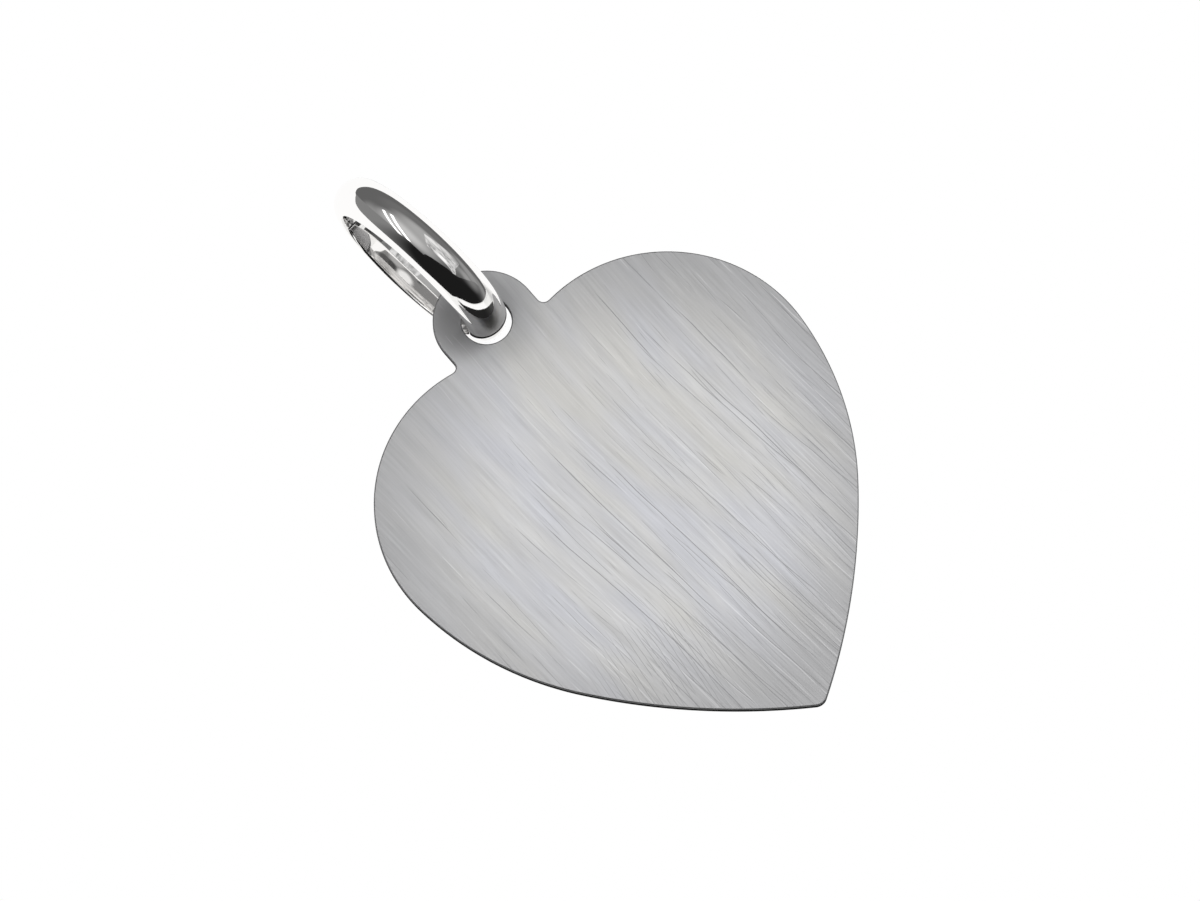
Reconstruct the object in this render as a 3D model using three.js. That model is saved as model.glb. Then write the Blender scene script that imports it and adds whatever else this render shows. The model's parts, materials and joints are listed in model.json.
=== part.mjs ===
// Engravable heart pendant: a flat heart blank with a pierced ear, hanging in a long oval ring.
// Millimetres, +Z up. The origin is the place inside the ring's top where a chain bears.
// The heart hangs plumb with its engraving face towards -Y, and the ring leans as it was found.

import * as THREE from 'three';
import { ParametricGeometry } from 'three/addons/geometries/ParametricGeometry.js';

// Oval ring, bent from half-round wire with its flat side inwards
const RING_OPENING_LENGTH = 6.95;
const RING_OPENING_WIDTH = 3.7;
const BAND_WIDTH = 1.86;
const BAND_THICKNESS = 0.95;
const BAND_CORNER_RADIUS = 0.12;
const RING_LEAN = THREE.MathUtils.degToRad(9.1);
const RING_PITCH = THREE.MathUtils.degToRad(12);

// Heart blank, stamped from sheet
const HEART_WIDTH = 20;
const PLATE_THICKNESS = 0.3;
const EDGE_BREAK = 0.05;
const LOBE_RADIUS = 6.54;
const SHOULDER_RADIUS = 13.3;
const FLANK_RADIUS = 28.3;
const SHOULDER_STARTS_AT = THREE.MathUtils.degToRad(-5.3);
const FLANK_STARTS_AT = THREE.MathUtils.degToRad(-38);
const TIP_RADIUS = 0.5;
const HOLE_ABOVE_LOBE_TOPS = 0.84;
const EAR_RIM = 1.16;
const NOTCH_RADIUS = 0.3;

// Running fit of the ring in the ear's hole
const HOLE_CLEARANCE = 0.1;
const BAND_RISE = 0.18;

// Facets
const RING_STEPS = 96;
const DOME_STEPS = 16;
const CORNER_STEPS = 3;
const HOLE_STEPS = 48;
const SHORT_ARC_STEPS = 8;
const LONG_ARC_STEPS = 24;

// The smallest circle round the half-round section sets the hole that the ring runs in.
const HALF_BAND = BAND_WIDTH / 2;
const TALL_SECTION_REACH = (HALF_BAND ** 2 + BAND_THICKNESS ** 2) / (2 * BAND_THICKNESS);
const BAND_REACH = Math.max(HALF_BAND, TALL_SECTION_REACH);
const HOLE_RADIUS = BAND_REACH + HOLE_CLEARANCE;
const EAR_RADIUS = HOLE_RADIUS + EAR_RIM;

const polished = new THREE.MeshStandardMaterial({ color: 0xdcdddd, roughness: 0.06, metalness: 1 });
const brushed = new THREE.MeshStandardMaterial({ color: 0xc6c7c7, roughness: 0.42, metalness: 1 });

// Points along an arc without its first one, which the outline before it already holds.
function arcPoints(centre, radius, from, to, steps) {
  const clockwise = to < from;
  const arc = new THREE.EllipseCurve(centre.x, centre.y, radius, radius, from, to, clockwise);
  return arc.getPoints(steps).slice(1);
}

function pointOnCircle(centre, radius, angle) {
  return new THREE.Vector2(Math.cos(angle), Math.sin(angle)).multiplyScalar(radius).add(centre);
}

// The wire's section: x across the band, y outwards from the ring's flat inner face.
function halfRoundSection() {
  const foot = HALF_BAND - BAND_CORNER_RADIUS;
  const dome = new THREE.EllipseCurve(
    0, BAND_CORNER_RADIUS, HALF_BAND, BAND_THICKNESS - BAND_CORNER_RADIUS, 0, Math.PI);
  const rightCorner = new THREE.Vector2(foot, BAND_CORNER_RADIUS);
  const leftCorner = new THREE.Vector2(-foot, BAND_CORNER_RADIUS);
  return [
    new THREE.Vector2(foot, 0),
    ...arcPoints(rightCorner, BAND_CORNER_RADIUS, -Math.PI / 2, 0, CORNER_STEPS),
    ...dome.getPoints(DOME_STEPS).slice(1),
    ...arcPoints(leftCorner, BAND_CORNER_RADIUS, Math.PI, Math.PI * 1.5, CORNER_STEPS),
  ];
}

// The section is carried round the elliptical opening, always square to it.
function ringGeometry() {
  const section = halfRoundSection();
  const halfLength = RING_OPENING_LENGTH / 2;
  const halfWidth = RING_OPENING_WIDTH / 2;
  const surface = (around, across, target) => {
    const angle = around * 2 * Math.PI;
    const { x: side, y: height } = section[Math.round(across * section.length) % section.length];
    const outward = new THREE.Vector2(halfLength * Math.sin(angle), halfWidth * Math.cos(angle));
    outward.normalize().multiplyScalar(height);
    target.set(
      side,
      halfWidth * Math.sin(angle) + outward.x,
      halfLength * (Math.cos(angle) - 1) + outward.y,
    );
  };
  return new ParametricGeometry(surface, RING_STEPS, section.length);
}

// Half of the heart's outline, from the tip up to the ear's top, about the hole's centre.
// Lobe, shoulder and flank are three arcs that each run on smoothly from the last.
function halfOutline() {
  const lobe = new THREE.Vector2(HEART_WIDTH / 2 - LOBE_RADIUS, -HOLE_ABOVE_LOBE_TOPS - LOBE_RADIUS);
  const shoulder = pointOnCircle(lobe, LOBE_RADIUS - SHOULDER_RADIUS, SHOULDER_STARTS_AT);
  const flank = pointOnCircle(shoulder, SHOULDER_RADIUS - FLANK_RADIUS, FLANK_STARTS_AT);
  const tip = new THREE.Vector2(0, flank.y - Math.sqrt((FLANK_RADIUS - TIP_RADIUS) ** 2 - flank.x ** 2));
  const tipEnd = Math.atan2(tip.y - flank.y, tip.x - flank.x);

  const notch = new THREE.Vector2(EAR_RADIUS + NOTCH_RADIUS, 0);
  notch.y = lobe.y + Math.sqrt((LOBE_RADIUS + NOTCH_RADIUS) ** 2 - (notch.x - lobe.x) ** 2);
  const lobeEnd = Math.atan2(notch.y - lobe.y, notch.x - lobe.x);
  const ear = new THREE.Vector2(0, 0);

  return [
    pointOnCircle(tip, TIP_RADIUS, -Math.PI / 2),
    ...arcPoints(tip, TIP_RADIUS, -Math.PI / 2, tipEnd, SHORT_ARC_STEPS),
    ...arcPoints(flank, FLANK_RADIUS, tipEnd, FLANK_STARTS_AT, SHORT_ARC_STEPS),
    ...arcPoints(shoulder, SHOULDER_RADIUS, FLANK_STARTS_AT, SHOULDER_STARTS_AT, SHORT_ARC_STEPS),
    ...arcPoints(lobe, LOBE_RADIUS, SHOULDER_STARTS_AT, lobeEnd, LONG_ARC_STEPS),
    ...arcPoints(notch, NOTCH_RADIUS, lobeEnd + Math.PI, Math.PI, SHORT_ARC_STEPS),
    pointOnCircle(ear, EAR_RADIUS, 0),
    ...arcPoints(ear, EAR_RADIUS, 0, Math.PI / 2, LONG_ARC_STEPS / 2),
  ];
}

function heartGeometry() {
  const right = halfOutline();
  const left = right.slice(1, -1).reverse().map((point) => new THREE.Vector2(-point.x, point.y));
  const heart = new THREE.Shape([...right, ...left]);
  const hole = arcPoints(new THREE.Vector2(0, 0), HOLE_RADIUS, 2 * Math.PI, 0, HOLE_STEPS);
  heart.holes.push(new THREE.Path(hole));
  const depth = PLATE_THICKNESS - 2 * EDGE_BREAK;
  const plate = new THREE.ExtrudeGeometry(heart, {
    depth,
    bevelThickness: EDGE_BREAK,
    bevelSize: EDGE_BREAK,
    bevelOffset: -EDGE_BREAK,
    bevelSegments: 1,
  });
  plate.translate(0, 0, -depth / 2);
  plate.rotateX(Math.PI / 2);
  return plate;
}

// The ring leans in the heart's plane and pitches out of it, about the chain's bearing.
const ring = new THREE.Mesh(ringGeometry(), polished);
ring.name = 'bail_ring';
ring.rotation.set(RING_PITCH, -RING_LEAN, 0, 'YXZ');

// The ear hangs on the inside of the ring's lower end, in the middle of the plate's thickness.
const ringFoot = new THREE.Vector3(0, 0, -RING_OPENING_LENGTH).applyEuler(ring.rotation);
const sectionCentreToFlat = BAND_THICKNESS - BAND_REACH;
const holeBelowFoot = Math.max(0, sectionCentreToFlat) + BAND_RISE;
const heart = new THREE.Mesh(heartGeometry(), brushed);
heart.name = 'heart_plate';
heart.position.set(
  ringFoot.x + holeBelowFoot * Math.sin(RING_LEAN),
  ringFoot.y,
  ringFoot.z - holeBelowFoot * Math.cos(RING_LEAN),
);

const pendant = new THREE.Group();
pendant.add(ring, heart);

export default pendant;
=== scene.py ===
"""Dress the engravable heart pendant: a brushed heart blank hanging in a polished oval ring."""

import json
import logging
import math
from dataclasses import dataclass
from enum import Enum
from typing import Iterable, Sequence

import bmesh
import bpy
from mathutils import Matrix, Vector


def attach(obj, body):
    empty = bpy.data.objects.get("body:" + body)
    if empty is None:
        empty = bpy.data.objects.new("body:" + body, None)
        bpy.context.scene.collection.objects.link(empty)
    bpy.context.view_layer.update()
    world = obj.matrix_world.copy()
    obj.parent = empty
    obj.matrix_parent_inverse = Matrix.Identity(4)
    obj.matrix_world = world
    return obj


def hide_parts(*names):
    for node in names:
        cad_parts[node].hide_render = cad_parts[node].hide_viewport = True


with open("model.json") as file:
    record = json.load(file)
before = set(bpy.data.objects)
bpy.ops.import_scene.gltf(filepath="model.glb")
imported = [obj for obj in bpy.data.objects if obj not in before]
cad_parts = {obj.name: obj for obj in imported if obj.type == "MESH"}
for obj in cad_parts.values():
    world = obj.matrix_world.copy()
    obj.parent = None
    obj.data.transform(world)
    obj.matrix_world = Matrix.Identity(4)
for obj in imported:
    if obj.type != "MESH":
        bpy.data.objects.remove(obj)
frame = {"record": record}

log = logging.getLogger("pendant")

MM = 0.001

# Vertices closer than this are one. It is in the unit that the mesh has at the time, millimetres.
WELD_MM = 1e-4

# Noise gathers about 0.5, and nearly all of it lies between these two values.
NOISE_LOW, NOISE_HIGH = 0.3, 0.7


def linear(hex_colour: str) -> tuple[float, float, float, float]:
    """Turn an sRGB hex colour into linear light.

    Args:
        hex_colour: Six hex digits after a hash, such as "#c8c9ca".

    Returns:
        Linear red, green and blue, with an alpha of one.
    """
    channels = [int(hex_colour[i : i + 2], 16) / 255 for i in (1, 3, 5)]
    lit = [c / 12.92 if c <= 0.04045 else ((c + 0.055) / 1.055) ** 2.4 for c in channels]
    return (*lit, 1.0)


def add_node(tree: bpy.types.NodeTree, kind: str, inputs: dict[str | int, object] | None = None,
             **settings: str | bool) -> bpy.types.Node:
    """Add one node with its settings and links.

    Args:
        tree: The node tree that gets the node.
        kind: The node's type name.
        inputs: Socket names or numbers, each with a plain value or the output socket that feeds it.
        settings: Attributes of the node itself.

    Returns:
        The new node.
    """
    node = tree.nodes.new(kind)
    for name, value in settings.items():
        setattr(node, name, value)
    for key, value in (inputs or {}).items():
        if isinstance(value, bpy.types.NodeSocket):
            tree.links.new(value, node.inputs[key])
        else:
            node.inputs[key].default_value = value
    return node


def new_material(name: str) -> tuple[bpy.types.Material, bpy.types.NodeTree]:
    """Make an empty node material.

    Args:
        name: The finish's common name.

    Returns:
        The material and its cleared node tree.
    """
    material = bpy.data.materials.new(name)
    material.use_nodes = True
    material.node_tree.nodes.clear()
    return material, material.node_tree


def object_from(bm: bmesh.types.BMesh, name: str,
                materials: Iterable[bpy.types.Material]) -> bpy.types.Object:
    """Turn a bmesh into a scene object at the origin.

    Args:
        bm: The finished mesh, in metres. It is freed.
        name: The object's name.
        materials: The materials for its slots, in order.

    Returns:
        The linked object.
    """
    mesh = bpy.data.meshes.new(name)
    bm.to_mesh(mesh)
    bm.free()
    for material in materials:
        mesh.materials.append(material)
    piece = bpy.data.objects.new(name, mesh)
    bpy.context.scene.collection.objects.link(piece)
    return piece


@dataclass(frozen=True)
class PolishedSilver:
    """Sterling silver buffed to a mirror, with the faint waves that a hand-held wheel leaves.

    The eye sees the studio in it, slightly bent, with hair-fine wheel marks in the highlights.
    """

    name: str = "polished silver"
    colour: str = "#fdfcfb"
    roughness: float = 0.03

    # The buff rocks on so thin a wire, which leaves waves about as wide as the wire is thick.
    wave_mm: float = 1.3
    wave_depth_mm: float = 0.004

    # Real wheel marks are about 0.005 mm wide. They are drawn ten times coarser, so that they show.
    mark_mm: float = 0.05
    clean_share: float = 0.6
    marked_share: float = 1.6

    def material(self) -> bpy.types.Material:
        """Build the node material.

        Returns:
            The polish.
        """
        material, tree = new_material(self.name)
        where = add_node(tree, "ShaderNodeTexCoord")
        waves = add_node(tree, "ShaderNodeTexNoise", {
            "Vector": where.outputs["Object"], "Scale": 1 / (self.wave_mm * MM), "Detail": 1.0})
        marks = add_node(tree, "ShaderNodeTexNoise", {
            "Vector": where.outputs["Object"], "Scale": 1 / (self.mark_mm * MM), "Detail": 3.0})
        tone = add_node(tree, "ShaderNodeMapRange", {
            "Value": marks.outputs["Fac"], "From Min": NOISE_LOW, "From Max": NOISE_HIGH,
            "To Min": self.roughness * self.clean_share, "To Max": self.roughness * self.marked_share})
        bump = add_node(tree, "ShaderNodeBump", {
            "Height": waves.outputs["Fac"], "Strength": 1.0, "Distance": self.wave_depth_mm * MM})
        metal = add_node(tree, "ShaderNodeBsdfPrincipled", {
            "Base Color": linear(self.colour), "Metallic": 1.0,
            "Roughness": tone.outputs["Result"], "Normal": bump.outputs["Normal"]})
        add_node(tree, "ShaderNodeOutputMaterial", {"Surface": metal.outputs["BSDF"]})
        return material


@dataclass(frozen=True)
class Hairlines:
    """One pass of the belt: thin grooves side by side, each broken into stretches that fade out.

    A groove shows where its noise, from 0 to 1, is over the value shown. A reach keeps the pass to a
    round patch of the plate; without one it covers the whole face.
    """

    # A fine belt's grit cuts grooves about 0.01 mm wide, a fifth of the render's pixel. They are drawn
    # about a pixel wide and further apart, so that they show.
    spacing_mm: float
    length_mm: float
    half_width_mm: float
    depth: float
    shown: float
    turn_deg: float
    seed: float
    around_mm: tuple[float, float] = (0.0, 0.0)
    reach_mm: float = 0.0

    # Each groove has its home in the middle part of its column and sways about it.
    home_share: float = 0.5
    sway_share: float = 0.5

    # Noise is read this far apart for two columns, so that no groove is like the next.
    column_skip: float = 7.3
    breaks_below: float = 0.05
    whole_above: float = 0.07
    full_reach_share: float = 0.4


@dataclass(frozen=True)
class RingShadow:
    """A round patch of painted shade on the plate by the ring's foot, full near its middle and fading out.
    """

    around_mm: tuple[float, float]
    full_to_mm: float
    fades_to_mm: float
    share: float


@dataclass(frozen=True)
class BrushedSilver:
    """Silver sheet drawn over an abrasive belt, nearly along the heart's length.

    The eye sees a soft grey sheen that spreads across the brushing, broken by dark hairlines and a few
    pale streaks. Painted into the colour are shade that darkens the face towards the rim, shade in the
    grooves, glints on the pale streaks and the ring's shade round the hole.
    """

    name: str = "brushed silver"
    warm_colour: str = "#d5d4d1"
    cool_colour: str = "#d0d1d6"
    # The grooves, grain and bands are mixed towards this colour: painted shade for the dark that the
    # grooves reflect.
    groove_shade_colour: str = "#868687"
    # Painted glints: pale streaks in this colour stand in for scratches that catch the light.
    glint_colour: str = "#f2f2f3"
    # Painted shade: the face is mixed towards this colour near the rim, where the light falls off.
    rim_shade_colour: str = "#b2b2b3"
    # Painted shade round the hole, and painted shadow of the ring's arm beside it, in this colour.
    ring_shadow_colour: str = "#5c5c5d"
    ring_shadows: tuple[RingShadow, ...] = (RingShadow((0.0, 0.0), 1.1, 2.6, 0.25), RingShadow((-0.9, 0.7), 0.5, 2.0, 0.6))
    roughness: float = 0.46
    roughness_swing: float = 0.07
    spread: float = 0.88

    # The finest grain is 0.01 mm wide on the real sheet. It is drawn coarser, a pixel and a half wide.
    grain_mm: float = 0.075
    grain_length_mm: float = 3.0
    grain_depth: float = 0.12

    # Where the belt is clogged it polishes and where it is fresh it cuts, in bands this wide.
    band_mm: float = 0.5
    band_length_mm: float = 14.0
    band_depth: float = 0.14

    # A thin film on the silver gives broad tints, so faint that they hardly show.
    tint_mm: float = 2.5
    tint_length_mm: float = 9.0
    tint_low: float = 0.38
    tint_high: float = 0.62

    # The sheet is guided by hand, so the brushing wanders this far from straight over its length.
    wander_mm: float = 1.5
    wander_length_mm: float = 17.0
    groove_depth_mm: float = 0.002

    # Towards the tip and the right, the grooves lie closer.
    denser_towards: tuple[float, float, float] = (0.4, -1.0, 0.0)
    denser_from_mm: float = 0.0
    denser_to_mm: float = 16.0
    denser_by: float = 0.09
    # The painted shade towards the rim grows between these two distances from this middle.
    middle_mm: tuple[float, float] = (-0.7, -9.5)
    rim_starts_mm: float = 5.0
    rim_ends_mm: float = 11.0
    grooves: tuple[Hairlines, ...] = (
        Hairlines(1.1, 8.0, 0.03, 0.95, 0.54, 0.0, 3.0),
        Hairlines(0.8, 6.0, 0.027, 0.85, 0.54, -2.5, 11.0),
        Hairlines(0.45, 3.5, 0.024, 0.7, 0.55, 2.5, 23.0),
        Hairlines(0.28, 2.4, 0.022, 0.5, 0.56, 1.0, 37.0),
        Hairlines(0.22, 1.5, 0.022, 0.75, 0.47, 12.0, 41.0, (-5.3, -16.2), 4.0),
    )
    # Passes of painted glints, drawn as pale streaks.
    glints: tuple[Hairlines, ...] = (
        Hairlines(0.9, 5.0, 0.035, 0.35, 0.58, -1.0, 53.0),
        Hairlines(0.4, 2.6, 0.028, 0.3, 0.57, 1.5, 67.0),
    )

    def material(self) -> bpy.types.Material:
        """Build the node material for the engraving face and the back.

        Its UV is in millimetres from the hole, with U across the brushing and V along it.

        Returns:
            The brushing.
        """
        material, tree = new_material(self.name)
        where = add_node(tree, "ShaderNodeTexCoord").outputs["UV"]
        slow = add_node(tree, "ShaderNodeTexNoise", {
            "Vector": where, "Scale": 1 / self.wander_length_mm, "Detail": 1.0})
        aside = add_node(tree, "ShaderNodeMapRange", {
            "Value": slow.outputs["Fac"], "To Min": -self.wander_mm / 2, "To Max": self.wander_mm / 2})
        drift = add_node(tree, "ShaderNodeCombineXYZ", {"X": aside.outputs["Result"]})
        path = add_node(tree, "ShaderNodeVectorMath", {
            0: where, 1: drift.outputs["Vector"]}, operation="ADD").outputs["Vector"]

        grain = self.streaks(tree, path, self.grain_mm, self.grain_length_mm)
        band = self.streaks(tree, path, self.band_mm, self.band_length_mm)
        fine = add_node(tree, "ShaderNodeMapRange", {
            "Value": grain, "From Min": NOISE_LOW, "From Max": NOISE_HIGH, "To Max": self.grain_depth})
        soft = add_node(tree, "ShaderNodeMapRange", {
            "Value": band, "From Min": NOISE_LOW, "From Max": NOISE_HIGH, "To Max": self.band_depth})
        cut_and_shade = add_node(tree, "ShaderNodeMath", {
            0: fine.outputs["Result"], 1: soft.outputs["Result"]}, operation="ADD").outputs["Value"]
        for belt in self.grooves:
            cut_and_shade = add_node(tree, "ShaderNodeMath", {
                0: cut_and_shade, 1: self.hairlines(tree, path, belt)}, operation="MAXIMUM").outputs["Value"]
        # Painted glints.
        glint = self.hairlines(tree, path, self.glints[0])
        for belt in self.glints[1:]:
            glint = add_node(tree, "ShaderNodeMath", {
                0: glint, 1: self.hairlines(tree, path, belt)}, operation="MAXIMUM").outputs["Value"]

        from_middle = add_node(tree, "ShaderNodeVectorMath", {
            0: where, 1: (*self.middle_mm, 0.0)}, operation="DISTANCE")
        # Painted shade, stronger towards the rim.
        rim = add_node(tree, "ShaderNodeMapRange", {
            "Value": from_middle.outputs["Value"], "From Min": self.rim_starts_mm,
            "From Max": self.rim_ends_mm}, interpolation_type="SMOOTHSTEP")
        tint = add_node(tree, "ShaderNodeMapRange", {
            "Value": self.streaks(tree, path, self.tint_mm, self.tint_length_mm),
            "From Min": self.tint_low, "From Max": self.tint_high})
        layers = [(tint.outputs["Result"], self.warm_colour), (rim.outputs["Result"], self.rim_shade_colour)]
        # Painted shade and shadow of the ring round the hole.
        for shadow_spot in self.ring_shadows:
            away = add_node(tree, "ShaderNodeVectorMath", {
                0: where, 1: (*shadow_spot.around_mm, 0.0)}, operation="DISTANCE")
            shadowed = add_node(tree, "ShaderNodeMapRange", {
                "Value": away.outputs["Value"], "From Min": shadow_spot.full_to_mm,
                "From Max": shadow_spot.fades_to_mm, "To Min": shadow_spot.share, "To Max": 0.0},
                interpolation_type="SMOOTHSTEP")
            layers.append((shadowed.outputs["Result"], self.ring_shadow_colour))
        # The grooves' depth also darkens the colour as painted shade; the bump below gives their real
        # relief.
        layers += [(glint, self.glint_colour), (cut_and_shade, self.groove_shade_colour)]
        colour: tuple | bpy.types.NodeSocket = linear(self.cool_colour)
        for share, other in layers:
            colour = add_node(tree, "ShaderNodeMix", {
                "Factor": share, "A": colour, "B": linear(other)}, data_type="RGBA").outputs["Result"]
        rough = add_node(tree, "ShaderNodeMapRange", {
            "Value": grain, "From Min": NOISE_LOW, "From Max": NOISE_HIGH,
            "To Min": self.roughness * (1 - self.roughness_swing),
            "To Max": self.roughness * (1 + self.roughness_swing)})
        bump = add_node(tree, "ShaderNodeBump", {
            "Height": cut_and_shade, "Strength": 1.0, "Distance": self.groove_depth_mm * MM}, invert=True)
        across = add_node(tree, "ShaderNodeTangent", direction_type="UV_MAP")
        metal = add_node(tree, "ShaderNodeBsdfPrincipled", {
            "Base Color": colour, "Metallic": 1.0,
            "Roughness": rough.outputs["Result"], "Normal": bump.outputs["Normal"],
            "Anisotropic": self.spread, "Tangent": across.outputs["Tangent"]})
        add_node(tree, "ShaderNodeOutputMaterial", {"Surface": metal.outputs["BSDF"]})
        return material

    @staticmethod
    def streaks(tree: bpy.types.NodeTree, place: bpy.types.NodeSocket, width_mm: float,
                length_mm: float) -> bpy.types.NodeSocket:
        """Draw noise out into streaks along the brushing.

        Args:
            tree: The material's node tree.
            place: Place on the plate in millimetres, with Y along the brushing.
            width_mm: About how wide one streak is.
            length_mm: About how long one streak is.

        Returns:
            The streaks, from 0 to 1.
        """
        drawn = add_node(tree, "ShaderNodeVectorMath", {
            0: place, 1: (1 / width_mm, 1 / length_mm, 1.0)}, operation="MULTIPLY")
        return add_node(tree, "ShaderNodeTexNoise", {
            "Vector": drawn.outputs["Vector"], "Scale": 1.0, "Detail": 2.0,
            "Roughness": 0.6}).outputs["Fac"]

    def hairlines(self, tree: bpy.types.NodeTree, place: bpy.types.NodeSocket,
                  belt: Hairlines) -> bpy.types.NodeSocket:
        """Draw one pass of the belt: a groove in each column, with its own place, bends and breaks.

        Args:
            tree: The material's node tree.
            place: Place on the plate in millimetres, with Y along the brushing.
            belt: The pass.

        Returns:
            How deep the groove is at that place, from 0 to the pass's depth.
        """
        def reckon(operation: str, *values: float | bpy.types.NodeSocket) -> bpy.types.NodeSocket:
            """Add one Math node and return its output."""
            return add_node(
                tree, "ShaderNodeMath", dict(enumerate(values)), operation=operation).outputs["Value"]

        turned = add_node(tree, "ShaderNodeMapping", {
            "Vector": place, "Rotation": (0.0, 0.0, math.radians(belt.turn_deg))})
        parts = add_node(tree, "ShaderNodeSeparateXYZ", {"Vector": turned.outputs["Vector"]})
        column = reckon("DIVIDE", parts.outputs["X"], belt.spacing_mm)
        number = reckon("FLOOR", column)
        in_column = reckon("FRACT", column)
        along = reckon("DIVIDE", parts.outputs["Y"], belt.length_mm)
        track = add_node(tree, "ShaderNodeCombineXYZ", {
            "X": reckon("MULTIPLY", number, belt.column_skip), "Y": along, "Z": belt.seed})
        own = add_node(tree, "ShaderNodeTexNoise", {
            "Vector": track.outputs["Vector"], "Scale": 1.0, "Detail": 3.0})
        lot = add_node(tree, "ShaderNodeTexWhiteNoise", {
            "W": reckon("ADD", number, belt.seed)}, noise_dimensions="1D").outputs["Value"]
        bend = add_node(tree, "ShaderNodeSeparateColor", {"Color": own.outputs["Color"]})
        sway = reckon("MULTIPLY_ADD", bend.outputs["Green"], belt.sway_share, -belt.sway_share / 2)
        home = reckon("ADD", sway, (1 - belt.home_share) / 2)
        spot = reckon("MULTIPLY_ADD", lot, belt.home_share, home)
        away = reckon("ABSOLUTE", reckon("SUBTRACT", in_column, spot))
        away_mm = reckon("MULTIPLY", away, belt.spacing_mm)
        line = add_node(tree, "ShaderNodeMapRange", {
            "Value": away_mm, "From Max": belt.half_width_mm, "To Min": belt.depth, "To Max": 0.0},
            interpolation_type="SMOOTHSTEP").outputs["Result"]
        towards_tip = add_node(tree, "ShaderNodeVectorMath", {
            0: turned.outputs["Vector"], 1: self.denser_towards}, operation="DOT_PRODUCT")
        denser = add_node(tree, "ShaderNodeMapRange", {
            "Value": towards_tip.outputs["Value"], "From Min": self.denser_from_mm,
            "From Max": self.denser_to_mm, "To Min": -self.denser_by,
            "To Max": self.denser_by}).outputs["Result"]
        stretch = add_node(tree, "ShaderNodeMapRange", {
            "Value": reckon("ADD", own.outputs["Fac"], denser),
            "From Min": belt.shown - belt.breaks_below, "From Max": belt.shown + belt.whole_above},
            interpolation_type="SMOOTHSTEP").outputs["Result"]
        cut_and_shade = reckon("MULTIPLY", line, stretch)
        if not belt.reach_mm:
            return cut_and_shade
        from_patch = add_node(tree, "ShaderNodeVectorMath", {
            0: place, 1: (*belt.around_mm, 0.0)}, operation="DISTANCE").outputs["Value"]
        there = add_node(tree, "ShaderNodeMapRange", {
            "Value": from_patch, "From Min": belt.reach_mm * belt.full_reach_share,
            "From Max": belt.reach_mm, "To Min": 1.0, "To Max": 0.0},
            interpolation_type="SMOOTHSTEP").outputs["Result"]
        return reckon("MULTIPLY", cut_and_shade, there)


@dataclass(frozen=True)
class CutEdge:
    """Silver that the stamping tool has sheared and tumbled, coloured darker than the face.

    The eye sees a thin line all round the blank, black on the wall and paler on the broken corner.
    The wall's black is painted shade, for the dark that the edge reflects.
    """

    name: str
    colour: str

    # Clean metal brightens to white at a low slant. Here it brightens only to this colour, which keeps
    # the wall's painted shade dark at a low slant.
    slant_colour: str
    roughness: float

    # The tumbler's steel shot leaves dents about 0.1 mm wide, which are drawn at their real size.
    dent_mm: float = 0.12
    dent_depth_mm: float = 0.003
    dent_strength: float = 0.5
    smooth_share: float = 0.8
    rough_share: float = 1.3

    def material(self) -> bpy.types.Material:
        """Build the node material.

        Returns:
            The edge's finish.
        """
        material, tree = new_material(self.name)
        where = add_node(tree, "ShaderNodeTexCoord")
        dents = add_node(tree, "ShaderNodeTexNoise", {
            "Vector": where.outputs["Object"], "Scale": 1 / (self.dent_mm * MM), "Detail": 2.0})
        rough = add_node(tree, "ShaderNodeMapRange", {
            "Value": dents.outputs["Fac"], "From Min": NOISE_LOW, "From Max": NOISE_HIGH,
            "To Min": self.roughness * self.smooth_share, "To Max": self.roughness * self.rough_share})
        bump = add_node(tree, "ShaderNodeBump", {
            "Height": dents.outputs["Fac"], "Strength": self.dent_strength,
            "Distance": self.dent_depth_mm * MM})
        metal = add_node(tree, "ShaderNodeBsdfPrincipled", {
            "Base Color": linear(self.colour), "Metallic": 1.0,
            "Specular Tint": linear(self.slant_colour),
            "Roughness": rough.outputs["Result"], "Normal": bump.outputs["Normal"]})
        add_node(tree, "ShaderNodeOutputMaterial", {"Surface": metal.outputs["BSDF"]})
        return material


# How much of a face's normal runs out of the plate: over the first it is flat, under the second a wall.
FLAT_OVER, WALL_UNDER = 0.999, 0.01


class PlateFace(Enum):
    """Which finish a face of the heart blank takes; the value is its material slot."""

    BRUSHED = 0
    CORNER = 1
    WALL = 2

    @classmethod
    def of(cls, normal: Vector) -> "PlateFace":
        """Tell a face's finish from the way it looks: out of the plate, sideways or between.

        Args:
            normal: The face's outward normal.

        Returns:
            The finish.
        """
        if abs(normal.y) > FLAT_OVER:
            return cls.BRUSHED
        return cls.WALL if abs(normal.y) < WALL_UNDER else cls.CORNER


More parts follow.
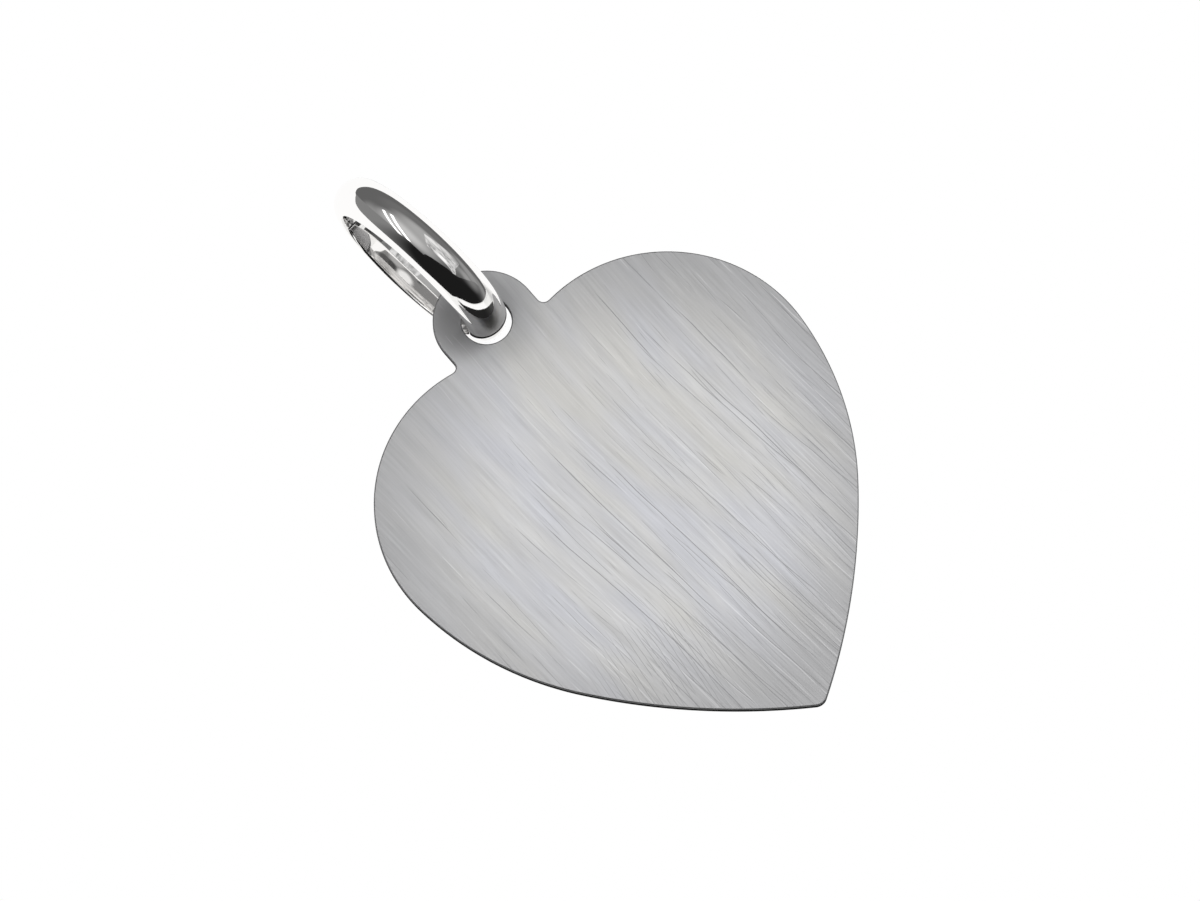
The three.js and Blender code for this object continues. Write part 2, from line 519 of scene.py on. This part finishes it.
@dataclass
class OvalRing:
    """The long oval ring of half-round wire that takes the chain. Sizes are in millimetres."""

    opening_length: float = 6.95
    opening_width: float = 3.7
    band_width: float = 1.86
    band_thickness: float = 0.95
    corner_radius: float = 0.12
    lean_deg: float = 9.1
    pitch_deg: float = 12.0
    stations: int = 192
    dome_steps: int = 36
    corner_steps: int = 6

    def placed(self) -> Matrix:
        """Return the ring's turn about the chain's bearing, which is the frame's origin."""
        lean = Matrix.Rotation(math.radians(-self.lean_deg), 4, "Y")
        return lean @ Matrix.Rotation(math.radians(self.pitch_deg), 4, "X")

    def station(self, angle: float) -> Matrix:
        """Place the wire's section on the oval.

        Args:
            angle: How far round the oval, from the top, in radians.

        Returns:
            A matrix that takes X across the band and Z outwards to that place on the ring.
        """
        half_length, half_width = self.opening_length / 2, self.opening_width / 2
        foot = Vector((0, half_width * math.sin(angle), half_length * (math.cos(angle) - 1)))
        outward = Vector((0, half_length * math.sin(angle), half_width * math.cos(angle))).normalized()
        across = Vector((1, 0, 0))
        turn = Matrix((across, outward.cross(across), outward)).transposed().to_4x4()
        return Matrix.Translation(foot) @ turn

    def section(self, bm: bmesh.types.BMesh) -> list[bmesh.types.BMEdge]:
        """Draw the half-round section in the XZ plane, flat side at Z = 0.

        Args:
            bm: The mesh that gets the section's closed loop.

        Returns:
            The loop's edges.
        """
        half, corner = self.band_width / 2, self.corner_radius
        start = bm.verts.new((half - corner, 0, 0))
        turn = bmesh.ops.spin(
            bm, geom=[start], cent=(half - corner, 0, corner), axis=(0, -1, 0),
            angle=math.pi / 2, steps=self.corner_steps, use_merge=False)
        last = next(v for v in turn["geom_last"] if isinstance(v, bmesh.types.BMVert))
        kept = set(bm.verts)
        round_top = bmesh.ops.spin(
            bm, geom=[last], cent=(0, 0, corner), axis=(0, -1, 0),
            angle=math.pi, steps=self.dome_steps, use_merge=False)
        flatten = (self.band_thickness - corner) / half
        about = Matrix.Translation((0, 0, -corner))
        bmesh.ops.scale(
            bm, vec=(1, 1, flatten), space=about, verts=[v for v in bm.verts if v not in kept])
        last = next(v for v in round_top["geom_last"] if isinstance(v, bmesh.types.BMVert))
        turn = bmesh.ops.spin(
            bm, geom=[last], cent=(corner - half, 0, corner), axis=(0, -1, 0),
            angle=math.pi / 2, steps=self.corner_steps, use_merge=False)
        last = next(v for v in turn["geom_last"] if isinstance(v, bmesh.types.BMVert))
        bm.edges.new((last, start))
        return list(bm.edges)

    def mesh(self) -> bmesh.types.BMesh:
        """Carry the section round the oval, one extrusion a station, and close it.

        Returns:
            The ring's mesh, in metres.
        """
        bm = bmesh.new()
        loop = self.section(bm)
        stations = [self.station(i / self.stations * 2 * math.pi) for i in range(self.stations + 1)]
        bmesh.ops.transform(bm, matrix=stations[0], verts=bm.verts)
        for here, there in zip(stations, stations[1:]):
            grown = bmesh.ops.extrude_edge_only(bm, edges=loop)["geom"]
            loop = [e for e in grown if isinstance(e, bmesh.types.BMEdge) and len(e.link_faces) == 1]
            fresh = list({v for e in loop for v in e.verts})
            bmesh.ops.transform(bm, matrix=there @ here.inverted(), verts=fresh)
        bmesh.ops.remove_doubles(bm, verts=bm.verts, dist=WELD_MM)
        bmesh.ops.transform(bm, matrix=Matrix.Scale(MM, 4) @ self.placed(), verts=bm.verts)
        bmesh.ops.recalc_face_normals(bm, faces=bm.faces)
        for face in bm.faces:
            face.smooth = True
        return bm

    def build(self, finish: PolishedSilver) -> bpy.types.Object:
        """Make the ring in place of its plain CAD node.

        Args:
            finish: The ring's polish.

        Returns:
            The ring.
        """
        ring = object_from(self.mesh(), "polished_bail_ring", [finish.material()])
        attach(ring, "ring")
        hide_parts("bail_ring")
        log.info("%s: %d faces", ring.name, len(ring.data.polygons))
        return ring


@dataclass
class HeartBlank:
    """The stamped heart with its pierced ear. Sizes are in millimetres."""

    width: float = 20.0
    thickness: float = 0.3
    edge_break: float = 0.05
    lobe_radius: float = 6.54
    shoulder_radius: float = 13.3
    flank_radius: float = 28.3
    shoulder_starts_deg: float = -5.3
    flank_starts_deg: float = -38.0
    tip_radius: float = 0.5
    hole_above_lobe_tops: float = 0.84
    hole_radius: float = 1.03
    ear_radius: float = 2.19
    notch_radius: float = 0.3
    step_mm: float = 0.16
    fewest_steps: int = 6
    hole_steps: int = 96
    edge_steps: int = 3
    sharp_deg: float = 80.0
    brushing_turn_deg: float = 3.5

    def hole_centre(self) -> Vector:
        """Return the middle of the ear's hole, in metres, which is the swing's axis."""
        joint = frame["record"]["behaviour"]["joints"][0]
        return Vector(joint["pos_m"])

    def arc(self, bm: bmesh.types.BMesh, start: bmesh.types.BMVert, centre: Vector,
            until: float) -> bmesh.types.BMVert:
        """Run the outline on along an arc in the XZ plane.

        Args:
            bm: The outline so far.
            start: The vertex that the arc starts from.
            centre: The arc's centre.
            until: The direction from the centre to the arc's end, in radians from +X towards +Z.

        Returns:
            The arc's last vertex.
        """
        spoke = start.co - centre
        begin = math.atan2(spoke.z, spoke.x)
        sweep = (until - begin + math.pi) % (2 * math.pi) - math.pi
        steps = max(self.fewest_steps, round(abs(sweep) * spoke.length / self.step_mm))
        spun = bmesh.ops.spin(
            bm, geom=[start], cent=centre, axis=(0, -1, 0), angle=sweep, steps=steps, use_merge=False)
        return next(v for v in spun["geom_last"] if isinstance(v, bmesh.types.BMVert))

    def half_outline(self, bm: bmesh.types.BMesh) -> None:
        """Draw the right half of the outline about the hole's centre, from the tip to the ear's top.

        Args:
            bm: The mesh that gets the open chain of edges.
        """
        def beside(centre: Vector, radius: float, angle: float) -> Vector:
            """Return the point at that radius and angle from a centre."""
            return centre + Vector((math.cos(angle), 0, math.sin(angle))) * radius

        shoulder_starts = math.radians(self.shoulder_starts_deg)
        flank_starts = math.radians(self.flank_starts_deg)
        lobe = Vector((self.width / 2 - self.lobe_radius, 0, -self.hole_above_lobe_tops - self.lobe_radius))
        shoulder = beside(lobe, self.lobe_radius - self.shoulder_radius, shoulder_starts)
        flank = beside(shoulder, self.shoulder_radius - self.flank_radius, flank_starts)
        reach = self.flank_radius - self.tip_radius
        tip = Vector((0, 0, flank.z - math.sqrt(reach**2 - flank.x**2)))
        notch = Vector((self.ear_radius + self.notch_radius, 0, 0))
        notch.z = lobe.z + math.sqrt((self.lobe_radius + self.notch_radius) ** 2 - (notch.x - lobe.x) ** 2)

        end = bm.verts.new(beside(tip, self.tip_radius, -math.pi / 2))
        end = self.arc(bm, end, tip, math.atan2(tip.z - flank.z, tip.x - flank.x))
        end = self.arc(bm, end, flank, flank_starts)
        end = self.arc(bm, end, shoulder, shoulder_starts)
        end = self.arc(bm, end, lobe, math.atan2(notch.z - lobe.z, notch.x - lobe.x))
        end = self.arc(bm, end, notch, math.pi)
        rise = bmesh.ops.extrude_vert_indiv(bm, verts=[end])["verts"][0]
        rise.co = Vector((self.ear_radius, 0, 0))
        self.arc(bm, rise, Vector((0, 0, 0)), math.pi / 2)

    def mesh(self) -> bmesh.types.BMesh:
        """Mirror and fill the outline, thicken it and round its edges over.

        Returns:
            The heart's mesh, in metres.
        """
        bm = bmesh.new()
        self.half_outline(bm)
        bmesh.ops.mirror(bm, geom=bm.verts[:] + bm.edges[:], axis="X", merge_dist=WELD_MM)
        bmesh.ops.create_circle(
            bm, radius=self.hole_radius, segments=self.hole_steps,
            matrix=Matrix.Rotation(math.pi / 2, 4, "X"))
        bmesh.ops.remove_doubles(bm, verts=bm.verts, dist=WELD_MM)
        bmesh.ops.triangle_fill(bm, use_beauty=True, edges=bm.edges, normal=(0, -1, 0))
        bmesh.ops.translate(bm, vec=(0, -self.thickness / 2, 0), verts=bm.verts)
        back = bmesh.ops.extrude_face_region(bm, geom=bm.faces[:], use_keep_orig=True)
        bmesh.ops.translate(
            bm, vec=(0, self.thickness, 0),
            verts=[v for v in back["geom"] if isinstance(v, bmesh.types.BMVert)])
        bmesh.ops.recalc_face_normals(bm, faces=bm.faces)
        rims = [e for e in bm.edges if e.calc_face_angle(0) > math.radians(self.sharp_deg)]
        bmesh.ops.bevel(
            bm, geom=rims, offset=self.edge_break, segments=self.edge_steps, profile=0.5,
            affect="EDGES", material=-1)
        bmesh.ops.transform(
            bm, matrix=Matrix.Translation(self.hole_centre()) @ Matrix.Scale(MM, 4), verts=bm.verts)
        bmesh.ops.recalc_face_normals(bm, faces=bm.faces)
        for face in bm.faces:
            finish = PlateFace.of(face.normal)
            face.smooth = finish is not PlateFace.BRUSHED
            face.material_index = finish.value
        self.lay_brushing(bm)
        return bm

    def lay_brushing(self, bm: bmesh.types.BMesh) -> None:
        """Give the blank a UV in millimetres from the hole, with V along the brushing.

        Args:
            bm: The finished blank, in metres.
        """
        layer = bm.loops.layers.uv.new("brushing")
        turn = Matrix.Rotation(math.radians(-self.brushing_turn_deg), 2)
        for face in bm.faces:
            for corner in face.loops:
                place = (corner.vert.co - self.hole_centre()) / MM
                corner[layer].uv = turn @ Vector((place.x, place.z))

    def build(self, faces: BrushedSilver, corner: CutEdge, wall: CutEdge) -> bpy.types.Object:
        """Make the heart in place of its plain CAD node.

        Args:
            faces: The brushing of the engraving face and the back.
            corner: The finish of the broken corners round the outline and the hole.
            wall: The finish of the sheared edge between them.

        Returns:
            The heart.
        """
        materials = [faces.material(), corner.material(), wall.material()]
        heart = object_from(self.mesh(), "brushed_heart_blank", materials)
        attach(heart, "heart")
        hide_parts("heart_plate")
        log.info("%s: %d faces", heart.name, len(heart.data.polygons))
        return heart


@dataclass
class PhotoCamera:
    """The photograph's camera: a long lens, rolled and tilted against the heart's face."""

    roll_deg: float = 39.39
    tilt_deg: float = 21.0
    lens_mm: float = 400.0
    sensor_mm: float = 36.0

    # The heart's scale in the photograph sets how far away the camera stands.
    pixels_per_mm: float = 24.72
    frame_width_px: float = 1200.0

    # What the middle of the frame shows, from the middle of the ear's hole
    aim_mm: tuple[float, float, float] = (-0.043, -0.195, -7.316)
    sees_from: float = 0.1
    sees_to: float = 10.0

    def build(self, hole: Vector) -> bpy.types.Object:
        """Make the camera and give it to the scene.

        Args:
            hole: The middle of the ear's hole, in metres.

        Returns:
            The camera.
        """
        roll, tilt = math.radians(self.roll_deg), math.radians(self.tilt_deg)
        right = Vector((math.cos(roll), 0, -math.sin(roll)))
        down = Vector((-math.sin(roll), 0, -math.cos(roll)))
        out = Vector((0, -1, 0))
        back = out * math.cos(tilt) + down * math.sin(tilt)
        up = out * math.sin(tilt) - down * math.cos(tilt)
        seen = self.frame_width_px / self.pixels_per_mm * MM
        distance = seen * self.lens_mm / self.sensor_mm
        data = bpy.data.cameras.new("photo camera")
        data.lens, data.sensor_width = self.lens_mm, self.sensor_mm
        data.clip_start, data.clip_end = distance * self.sees_from, distance * self.sees_to
        camera = bpy.data.objects.new("photo camera", data)
        bpy.context.scene.collection.objects.link(camera)
        aim = hole + Vector(self.aim_mm) * MM
        camera.matrix_world = Matrix.Translation(aim + back * distance) @ Matrix(
            (right, up, back)).transposed().to_4x4()
        bpy.context.scene.camera = camera
        return camera


class Side(Enum):
    """Which side of the ring a card stands on: the directions its two shares run in, and the way out."""

    FRONT = ((1, 0, 0), (0, 0, 1), (0, -1, 0))
    BACK = ((1, 0, 0), (0, 0, 1), (0, 1, 0))
    LEFT = ((0, 1, 0), (0, 0, 1), (-1, 0, 0))
    BELOW = ((1, 0, 0), (0, 1, 0), (0, 0, -1))

    def place(self, across: float, up: float) -> Vector:
        """Return the place at those two shares of the card's distance, for a distance of one."""
        first, second, out = (Vector(way) for way in self.value)
        return first * across + second * up + out


@dataclass(frozen=True)
class Shade:
    """A soft spot of another tone on a card. Its place and reaches are shares of the card's distance."""

    place: tuple[float, float]
    full_to: float
    fades_to: float
    tone: str


def light_only(lamp: bpy.types.Object, lit: Sequence[bpy.types.Object]) -> None:
    """Flag a lamp or a glowing card off every piece but those that it is there for.

    Args:
        lamp: The lamp or the card.
        lit: The pieces that it lights.
    """
    flagged = bpy.data.collections.new(f"lit by the {lamp.name}")
    for piece in lit:
        flagged.objects.link(piece)
    lamp.light_linking.receiver_collection = flagged


@dataclass(frozen=True)
class Card:
    """A flat card beside the pendant, out of the camera's sight, that the polished ring shows.

    Its corners are shares of the card's distance from the ring's middle.
    """

    name: str
    side: Side
    distance_mm: float
    corners: tuple[tuple[float, float], ...]
    tone: str
    shades: tuple[Shade, ...] = ()
    mottle_tone: str = ""
    mottle_mm: float = 20.0
    mottle_low: float = 0.35
    mottle_high: float = 0.65

    # A card that is flagged off the heart is black to it, and the ring's foot mirrors that dark face.
    ring_alone: bool = False

    def place(self, place: tuple[float, float], middle: Vector) -> Vector:
        """Return the card's point at those shares, in metres, from the ring's middle."""
        return middle + self.side.place(*place) * self.distance_mm * MM

    def material(self, middle: Vector) -> bpy.types.Material:
        """Build the glowing material.

        Args:
            middle: The ring's middle, in metres.

        Returns:
            The card's tones.
        """
        material, tree = new_material(self.name)
        where = add_node(tree, "ShaderNodeTexCoord").outputs["Object"]
        tone: tuple | bpy.types.NodeSocket = linear(self.tone)
        if self.mottle_tone:
            mottle = add_node(tree, "ShaderNodeTexNoise", {
                "Vector": where, "Scale": 1 / (self.mottle_mm * MM), "Detail": 3.0})
            share = add_node(tree, "ShaderNodeMapRange", {
                "Value": mottle.outputs["Fac"], "From Min": self.mottle_low,
                "From Max": self.mottle_high})
            tone = add_node(tree, "ShaderNodeMix", {
                "Factor": share.outputs["Result"], "A": tone, "B": linear(self.mottle_tone)},
                data_type="RGBA").outputs["Result"]
        reach = self.distance_mm * MM
        for shade in self.shades:
            away = add_node(tree, "ShaderNodeVectorMath", {
                0: where, 1: self.place(shade.place, middle)}, operation="DISTANCE")
            share = add_node(tree, "ShaderNodeMapRange", {
                "Value": away.outputs["Value"], "From Min": shade.full_to * reach,
                "From Max": shade.fades_to * reach, "To Min": 1.0, "To Max": 0.0},
                interpolation_type="SMOOTHSTEP")
            tone = add_node(tree, "ShaderNodeMix", {
                "Factor": share.outputs["Result"], "A": tone, "B": linear(shade.tone)},
                data_type="RGBA").outputs["Result"]
        glow = add_node(tree, "ShaderNodeEmission", {"Color": tone})
        add_node(tree, "ShaderNodeOutputMaterial", {"Surface": glow.outputs["Emission"]})
        return material

    def build(self, middle: Vector, ring: bpy.types.Object) -> bpy.types.Object:
        """Make the card.

        Args:
            middle: The ring's middle, in metres.
            ring: The polished ring, which alone is lit by a card that is flagged off the heart.

        Returns:
            The card.
        """
        bm = bmesh.new()
        rim = [bm.verts.new(self.place(corner, middle)) for corner in self.corners]
        edges = [bm.edges.new(pair) for pair in zip(rim, rim[1:] + rim[:1])]
        bmesh.ops.triangle_fill(bm, use_beauty=True, edges=edges, normal=self.side.value[2])
        card = object_from(bm, self.name, [self.material(middle)])
        card.visible_camera = False
        if self.ring_alone:
            light_only(card, [ring])
        log.info("%s: %d corners at %.0f mm", card.name, len(self.corners), self.distance_mm)
        return card


@dataclass(frozen=True)
class StripLamp:
    """A lamp tube behind a diffuser, brightest along its axis.

    Its ends are placed as a card's corners are, in front of the ring.
    """

    name: str
    distance_mm: float
    start: tuple[float, float]
    end: tuple[float, float]
    half_width: float
    strength: float
    rim_strength: float = 0.4

    # The full strength reaches this far from the axis, as a share of the strip's width.
    core_share: float = 0.1

    def material(self) -> bpy.types.Material:
        """Build the glowing material, which reads how far across the strip a point is from its UV.

        Returns:
            The lamp's glow.
        """
        material, tree = new_material(self.name)
        where = add_node(tree, "ShaderNodeSeparateXYZ", {
            "Vector": add_node(tree, "ShaderNodeTexCoord").outputs["UV"]})
        aside = add_node(tree, "ShaderNodeMath", {0: where.outputs["Y"], 1: 0.5}, operation="SUBTRACT")
        away = add_node(tree, "ShaderNodeMath", {0: aside.outputs["Value"]}, operation="ABSOLUTE")
        strength = add_node(tree, "ShaderNodeMapRange", {
            "Value": away.outputs["Value"], "From Min": self.core_share, "From Max": 0.5,
            "To Min": self.strength, "To Max": self.rim_strength}, interpolation_type="SMOOTHERSTEP")
        glow = add_node(tree, "ShaderNodeEmission", {"Strength": strength.outputs["Result"]})
        add_node(tree, "ShaderNodeOutputMaterial", {"Surface": glow.outputs["Emission"]})
        return material

    def build(self, middle: Vector) -> bpy.types.Object:
        """Make the lamp's face.

        Args:
            middle: The ring's middle, in metres.

        Returns:
            The lamp.
        """
        reach = self.distance_mm * MM
        start, end = (middle + Vector((x, -1, z)) * reach for x, z in (self.start, self.end))
        along, out = (end - start) / 2, Vector((0, -1, 0))
        across = out.cross(along.normalized()) * self.half_width * reach
        turn = Matrix((along, across, out)).transposed().to_4x4()
        bm = bmesh.new()
        bm.loops.layers.uv.new("face")
        bmesh.ops.create_grid(
            bm, x_segments=1, y_segments=1, size=1.0, calc_uvs=True,
            matrix=Matrix.Translation((start + end) / 2) @ turn)
        lamp = object_from(bm, self.name, [self.material()])
        lamp.visible_camera = False
        log.info("%s: %.0f mm away", lamp.name, self.distance_mm)
        return lamp


@dataclass(frozen=True)
class SoftBox:
    """A broad soft lamp in front of the heart, flagged off the ring, where the brushed face mirrors it."""

    name: str
    distance_mm: float
    middle_mm: tuple[float, float]
    size_mm: tuple[float, float]
    strength: float

    def build(self, lit: Sequence[bpy.types.Object]) -> bpy.types.Object:
        """Make the lamp.

        Args:
            lit: The pieces that it lights.

        Returns:
            The lamp.
        """
        width, height = (side * MM for side in self.size_mm)
        data = bpy.data.lights.new(self.name, "AREA")
        data.shape = "RECTANGLE"
        data.size, data.size_y = width, height
        # A quarter of a lamp's power over its area is its brightness, and 1 is as bright as white.
        data.energy = 4 * width * height * self.strength
        lamp = bpy.data.objects.new(self.name, data)
        bpy.context.scene.collection.objects.link(lamp)
        x, z = self.middle_mm
        lamp.matrix_world = Matrix.Translation(
            Vector((x, -self.distance_mm, z)) * MM) @ Matrix.Rotation(math.pi / 2, 4, "X")
        lamp.visible_camera = False
        light_only(lamp, lit)
        log.info("%s: %.0f mm away", lamp.name, self.distance_mm)
        return lamp


@dataclass
class Studio:
    """The plain white studio round the pendant, and the cards that the polish shows.

    The floor's drop and size and the ring's middle are in metres.
    """

    floor_drop: float = 0.7
    floor_size: float = 6.0
    floor_colour: str = "#f4f4f3"
    floor_roughness: float = 0.8
    ring_middle: tuple[float, float, float] = (0.00055, 0.00072, -0.0034)

    # A card stands where the ring mirrors its tone at the camera. A point on a card is given by its
    # shares, across and up, of the card's distance from the ring's middle.
    cards: tuple[Card, ...] = (
        Card("grey ceiling board", Side.FRONT, 100.0,
             ((-0.82, -0.5), (-0.5, -2.48), (1.68, -2.8), (2.5, -3.0), (3.2, -3.2), (4.2, -3.5),
              (20.0, -9.0), (20.0, 14.0), (1.3, 9.4), (-0.8, 4.6), (-0.82, 4.0)),
             "#626262", (
                 Shade((1.6, 0.0), 0.9, 1.9, "#6d6d6d"),
                 Shade((1.9, -1.0), 0.5, 1.0, "#929292"),
                 Shade((3.0, -2.4), 0.9, 1.7, "#868686"),
                 Shade((0.8, -0.85), 0.1, 0.45, "#989898"),
                 Shade((-1.0, 0.7), 0.2, 1.1, "#8f8f8f"),
                 Shade((-0.3, 0.15), 0.1, 0.75, "#c6c6c6"),
                 Shade((0.5, 0.0), 0.2, 0.75, "#a8a8a8"))),
        Card("black card", Side.FRONT, 95.0,
             ((-0.86, -2.62), (-0.5, -2.56), (0.5, -2.56), (1.05, -2.65), (1.68, -2.8), (2.2, -2.4),
              (2.2, -1.6), (1.5, -1.15), (0.5, -0.85), (0.1, -0.74), (-0.12, -0.52), (-0.42, -0.34),
              (-0.6, -0.28), (-0.86, -0.3)),
             "#8e8e8e", (
                 Shade((-1.6, -2.0), 1.9, 4.6, "#1b1b1b"),
                 Shade((1.2, -0.9), 0.2, 1.0, "#7a7a7a"))),
        Card("left wall", Side.LEFT, 80.0,
             ((-1.3, 5.4), (-0.9, 3.2), (-0.5, 1.67), (-0.2, 0.8), (-0.05, 0.45), (0.12, 0.15),
              (0.25, -0.1), (0.1, -0.45), (-0.12, -0.66), (-0.35, -1.0), (-0.46, -1.25),
              (-0.625, -1.667), (-0.95, -2.5), (-1.27, -3.3)),
             "#808080", (Shade((-0.6, -5.0), 4.85, 5.42, "#1b1b1b"),)),
        Card("dark strip below", Side.BELOW, 60.0,
             ((-1.7, 0.05), (-1.3, -0.02), (-1.0, -0.115), (-0.8, -0.165), (-0.6, -0.2),
              (-0.4, -0.212), (-0.15, -0.22), (0.05, -0.216), (0.2, -0.196), (0.4, -0.165),
              (0.6, -0.125), (0.8, -0.075), (1.0, -0.005), (1.2, 0.08), (1.2, 0.12), (-0.7, 0.12),
              (-0.8, 0.25), (-1.7, 0.25)),
             "#222222", (Shade((1.2, 0.0), 0.3, 1.2, "#4a4a4a"),)),
        Card("white card below", Side.BELOW, 58.0,
             ((-1.35, -0.02), (-1.0, -0.115), (-0.8, -0.165), (-0.6, -0.2), (-0.4, -0.212),
              (-0.15, -0.22), (0.05, -0.216), (0.2, -0.196), (0.4, -0.165), (0.4, -0.35),
              (0.0, -0.365), (-0.5, -0.355), (-1.0, -0.31), (-1.35, -0.22)),
             "#ffffff", ring_alone=True),
        Card("grey stand", Side.BACK, 8.0,
             ((0.17, -0.31), (0.34, -0.31), (0.43, -0.24), (0.59, -0.19), (0.59, 0.3), (0.54, 0.45),
              (0.54, 0.94), (0.17, 0.94)),
             "#838383", (
                 Shade((0.31, 0.26), 0.09, 0.2, "#ececec"),
                 Shade((0.58, 0.05), 0.1, 0.2, "#aaaaaa"),
                 Shade((0.32, -0.03), 0.09, 0.155, "#4a4a4a"),
                 Shade((0.37, -0.15), 0.06, 0.12, "#565656"),
                 Shade((0.54, 0.51), 0.02, 0.11, "#545454"),
                 Shade((0.49, -0.31), 0.05, 0.11, "#efefef"))),
        Card("crumpled paper", Side.FRONT, 60.0,
             ((0.04, -0.14), (0.3, -0.02), (0.62, 0.1), (0.95, -0.04), (1.3, -0.18), (1.42, -0.3),
              (1.2, -0.5), (0.4, -0.56), (0.06, -0.7), (-0.04, -0.66), (0.08, -0.5)),
             "#e4e4e4", (
                 Shade((1.3, -0.5), 0.15, 0.6, "#9c9c9c"),
                 Shade((0.2, -0.35), 0.05, 0.16, "#ffffff"),
                 Shade((0.95, -0.2), 0.06, 0.26, "#dadada"),
                 Shade((0.62, -0.02), 0.06, 0.24, "#e8e8e8")),
             mottle_tone="#8c8c8c", mottle_mm=4.5),
    )
    lamps: tuple[StripLamp, ...] = (
        StripLamp("upper strip lamp", 60.0, (-0.12, 0.62), (-0.88, 0.11), 0.062, 2.2),
        StripLamp("lower strip lamp", 60.0, (0.0, 0.46), (-0.72, -0.03), 0.06, 2.2),
    )

    # The first lights the face for the camera, the second for whoever looks at it from above.
    soft_boxes: tuple[SoftBox, ...] = (
        SoftBox("soft box", 55.0, (13.0, -2.0), (150.0, 46.0), 0.75),
        SoftBox("lower soft box", 50.0, (45.0, -50.5), (140.0, 51.0), 0.6),
    )

    def world(self) -> None:
        """Make the surroundings white, to the eye and in the metal."""
        world = bpy.data.worlds.new("white studio")
        bpy.context.scene.world = world
        world.use_nodes = True
        tree = world.node_tree
        tree.nodes.clear()
        white = add_node(tree, "ShaderNodeBackground", {"Color": (1, 1, 1, 1), "Strength": 1.0})
        add_node(tree, "ShaderNodeOutputWorld", {"Surface": white.outputs["Background"]})

    def floor(self) -> bpy.types.Object:
        """Lay the plain pale floor far below the hanging pendant.

        Returns:
            The floor.
        """
        material, tree = new_material("pale floor")
        paint = add_node(tree, "ShaderNodeBsdfPrincipled", {
            "Base Color": linear(self.floor_colour), "Roughness": self.floor_roughness})
        add_node(tree, "ShaderNodeOutputMaterial", {"Surface": paint.outputs["BSDF"]})
        bm = bmesh.new()
        bmesh.ops.create_grid(
            bm, x_segments=1, y_segments=1, size=self.floor_size / 2,
            matrix=Matrix.Translation((0, 0, -self.floor_drop)))
        floor = object_from(bm, "floor", [material])
        log.info("%s: %.1f m below", floor.name, self.floor_drop)
        return floor

    def build(self, ring: bpy.types.Object) -> None:
        """Set up the world, the floor, every card and every strip lamp.

        Args:
            ring: The polished ring, which shows the cards.
        """
        self.world()
        self.floor()
        middle = Vector(self.ring_middle)
        for card in self.cards:
            card.build(middle, ring)
        for lamp in self.lamps:
            lamp.build(middle)

    def light_heart(self, blank: bpy.types.Object) -> None:
        """Set up the soft boxes, which light the brushed heart alone."""
        for box in self.soft_boxes:
            box.build([blank])


def main() -> None:
    """Build the camera, the studio and the two pieces."""
    logging.basicConfig(level=logging.INFO, format="%(name)s: %(message)s")
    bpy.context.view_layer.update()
    heart, studio = HeartBlank(), Studio()
    PhotoCamera().build(heart.hole_centre())
    ring = OvalRing().build(PolishedSilver())
    studio.build(ring)
    blank = heart.build(
        BrushedSilver(),
        CutEdge("broken silver corner", colour="#8a8a8b", slant_colour="#9c9c9c", roughness=0.3),
        # The wall's near-black colour and dim slant colour are painted shade.
        CutEdge("sheared silver wall with painted shade", colour="#141415", slant_colour="#b8b8b8", roughness=0.5))
    studio.light_heart(blank)
    bpy.context.scene.view_settings.view_transform = "Standard"


if __name__ == "__main__":
    main()
